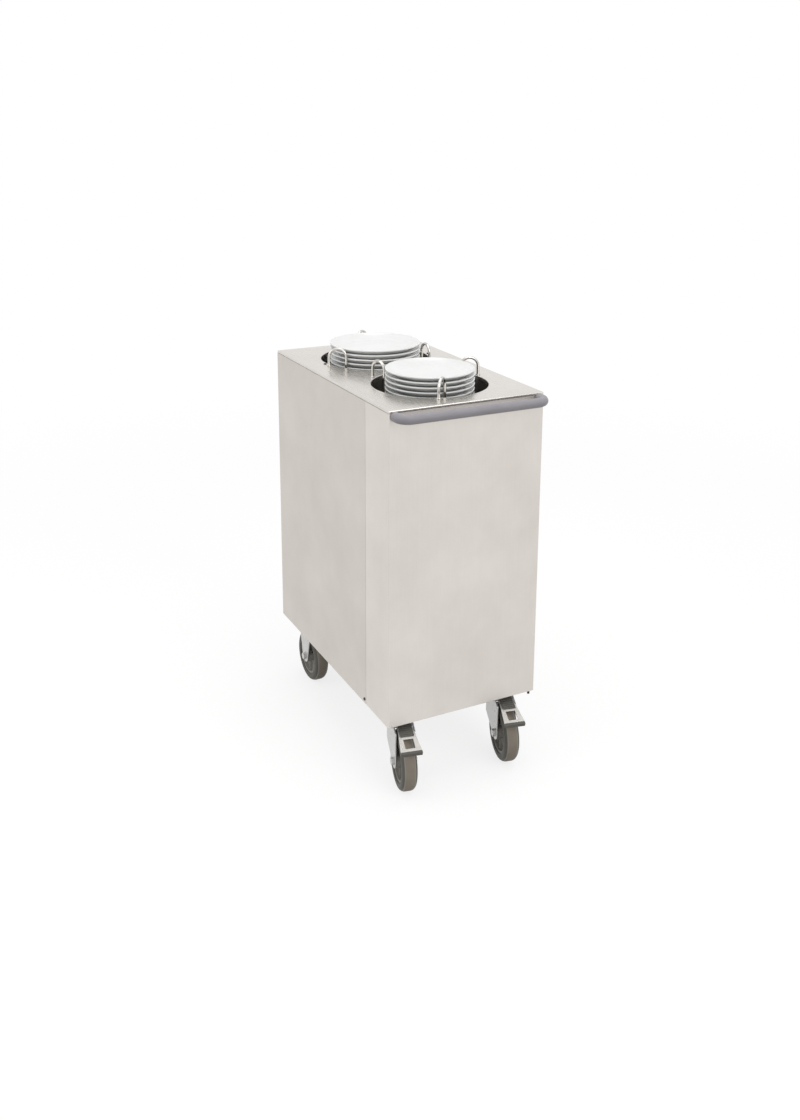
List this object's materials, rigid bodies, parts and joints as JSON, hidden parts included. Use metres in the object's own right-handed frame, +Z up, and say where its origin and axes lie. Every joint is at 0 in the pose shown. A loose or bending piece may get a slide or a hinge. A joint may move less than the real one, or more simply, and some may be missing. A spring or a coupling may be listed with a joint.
{
  "type": "plate dispenser cart",
  "caption": "Enclosed steel cart with two sprung wells of stacked plates, wire plate guides, a push handle, two braked swivel castors and two fixed castors.",
  "frame": {"origin": "on the floor, under the middle of the cart's overall length and width", "axes": "+X towards the push handle, +Y to the right-hand side panel, +Z up"},
  "size_m": [0.7342, 0.3936, 0.964],
  "materials": {
    "panel_steel": "satin stainless sheet",
    "deck_steel": "bright satin stainless sheet",
    "frame_steel": "plain sheet steel",
    "grip_vinyl": "smooth grey vinyl",
    "handle_steel": "plain tube",
    "zinc_fasteners": "zinc plated",
    "dark_fasteners": "blackened",
    "spring_steel": "oiled wire",
    "guide_chrome": "bright chromed wire",
    "plate_glaze": "white glaze",
    "castor_zinc": "bright zinc plated pressing",
    "wheel_nylon": "moulded grey",
    "tyre_rubber": "grey non-marking rubber",
    "pedal_rubber": "dark moulded"
  },
  "bodies": {
    "cart": {"top_deck": "deck_steel", "handle_end_cover": "panel_steel", "left_side_panel": "panel_steel", "right_side_panel": "panel_steel", "rear_end_panel": "panel_steel", "base_tray": "frame_steel", "corner_posts": "frame_steel", "push_handle_tube": "handle_steel", "push_handle_grip": "grip_vinyl", "handle_bolts": "zinc_fasteners", "cover_screws": "dark_fasteners", "rear_panel_screws": "zinc_fasteners", "deck_screws": "dark_fasteners", "corner_peg": "dark_fasteners", "castor_bolts": "zinc_fasteners", "front_well_tube": "frame_steel", "rear_well_tube": "frame_steel", "front_guide_sleeves": "frame_steel", "rear_guide_sleeves": "frame_steel", "front_springs": "spring_steel", "rear_springs": "spring_steel", "kingpins": "zinc_fasteners", "castor_1_plate": "castor_zinc", "castor_2_plate": "castor_zinc", "castor_3_plate": "castor_zinc", "castor_4_plate": "castor_zinc", "castor_3_fork": "castor_zinc", "castor_3_axle": "zinc_fasteners", "castor_4_fork": "castor_zinc", "castor_4_axle": "zinc_fasteners"},
    "front_carrier": {"front_carrier": "frame_steel", "front_plate_stack": "plate_glaze"},
    "front_top_plate": {"front_top_plate": "plate_glaze"},
    "front_guide_1": {"front_guide_1": "guide_chrome"},
    "front_guide_2": {"front_guide_2": "guide_chrome"},
    "front_guide_3": {"front_guide_3": "guide_chrome"},
    "rear_carrier": {"rear_carrier": "frame_steel", "rear_plate_stack": "plate_glaze"},
    "rear_top_plate": {"rear_top_plate": "plate_glaze"},
    "rear_guide_1": {"rear_guide_1": "guide_chrome"},
    "rear_guide_2": {"rear_guide_2": "guide_chrome"},
    "rear_guide_3": {"rear_guide_3": "guide_chrome"},
    "castor_1_wheel": {"castor_1_rim": "wheel_nylon", "castor_1_tyre": "tyre_rubber"},
    "castor_1_fork": {"castor_1_fork": "castor_zinc", "castor_1_axle": "zinc_fasteners"},
    "castor_1_brake": {"castor_1_brake_pedal": "castor_zinc", "castor_1_pedal_pads": "pedal_rubber"},
    "castor_2_wheel": {"castor_2_rim": "wheel_nylon", "castor_2_tyre": "tyre_rubber"},
    "castor_2_fork": {"castor_2_fork": "castor_zinc", "castor_2_axle": "zinc_fasteners"},
    "castor_2_brake": {"castor_2_brake_pedal": "castor_zinc", "castor_2_pedal_pads": "pedal_rubber"},
    "castor_3_wheel": {"castor_3_rim": "wheel_nylon", "castor_3_tyre": "tyre_rubber"},
    "castor_4_wheel": {"castor_4_rim": "wheel_nylon", "castor_4_tyre": "tyre_rubber"}
  },
  "joints": [
    {"name": "front_carrier_rise", "type": "slide", "parent": "cart", "child": "front_carrier", "axis": [0, 0, 1], "range_m": [-0.342, 0.133], "stiffness_N_per_m": 440.1, "springref_m": 0.2051, "deforming": ["front_springs"]},
    {"name": "front_top_plate_lift", "type": "slide", "parent": "front_carrier", "child": "front_top_plate", "axis": [0, 0, 1], "range_m": [0, 0.2]},
    {"name": "front_guide_1_swing", "type": "hinge", "parent": "cart", "child": "front_guide_1", "pos_m": [0.2551, -0.04994, 0.918], "axis": [0, 0, -1], "range_deg": [0, 35.5]},
    {"name": "front_guide_2_swing", "type": "hinge", "parent": "cart", "child": "front_guide_2", "pos_m": [0.09255, 0.14378, 0.918], "axis": [0, 0, -1], "range_deg": [0, 35.5]},
    {"name": "front_guide_3_swing", "type": "hinge", "parent": "cart", "child": "front_guide_3", "pos_m": [0.00607, -0.09385, 0.918], "axis": [0, 0, -1], "range_deg": [0, 35.5]},
    {"name": "rear_carrier_rise", "type": "slide", "parent": "cart", "child": "rear_carrier", "axis": [0, 0, 1], "range_m": [-0.344, 0.131], "stiffness_N_per_m": 526.1, "springref_m": 0.20374, "deforming": ["rear_springs"]},
    {"name": "rear_top_plate_lift", "type": "slide", "parent": "rear_carrier", "child": "rear_top_plate", "axis": [0, 0, 1], "range_m": [0, 0.2]},
    {"name": "rear_guide_1_swing", "type": "hinge", "parent": "cart", "child": "rear_guide_1", "pos_m": [-0.14677, -0.14166, 0.918], "axis": [0, 0, -1], "range_deg": [0, 17.5]},
    {"name": "rear_guide_2_swing", "type": "hinge", "parent": "cart", "child": "rear_guide_2", "pos_m": [-0.07707, 0.10142, 0.918], "axis": [0, 0, -1], "range_deg": [0, 17.5]},
    {"name": "rear_guide_3_swing", "type": "hinge", "parent": "cart", "child": "rear_guide_3", "pos_m": [-0.32244, 0.04024, 0.918], "axis": [0, 0, -1], "range_deg": [0, 17.5]},
    {"name": "castor_1_swivel", "type": "hinge", "parent": "cart", "child": "castor_1_fork", "pos_m": [0.24291, -0.136, 0.165], "axis": [0, 0, 1], "continuous": true},
    {"name": "castor_1_roll", "type": "hinge", "parent": "castor_1_fork", "child": "castor_1_wheel", "pos_m": [0.28286, -0.14522, 0.07], "axis": [0.225, 0.9744, 0], "continuous": true},
    {"name": "castor_1_brake_press", "type": "hinge", "parent": "castor_1_fork", "child": "castor_1_brake", "pos_m": [0.27068, -0.14241, 0.15], "axis": [0.225, 0.9744, 0], "range_deg": [0, 8]},
    {"name": "castor_2_swivel", "type": "hinge", "parent": "cart", "child": "castor_2_fork", "pos_m": [0.24291, 0.136, 0.165], "axis": [0, 0, 1], "continuous": true},
    {"name": "castor_2_roll", "type": "hinge", "parent": "castor_2_fork", "child": "castor_2_wheel", "pos_m": [0.28286, 0.12678, 0.07], "axis": [0.225, 0.9744, 0], "continuous": true},
    {"name": "castor_2_brake_press", "type": "hinge", "parent": "castor_2_fork", "child": "castor_2_brake", "pos_m": [0.27068, 0.12959, 0.15], "axis": [0.225, 0.9744, 0], "range_deg": [0, 8]},
    {"name": "castor_3_roll", "type": "hinge", "parent": "cart", "child": "castor_3_wheel", "pos_m": [-0.29509, -0.136, 0.07], "axis": [0, 1, 0], "continuous": true},
    {"name": "castor_4_roll", "type": "hinge", "parent": "cart", "child": "castor_4_wheel", "pos_m": [-0.29509, 0.136, 0.07], "axis": [0, 1, 0], "continuous": true}
  ]
}
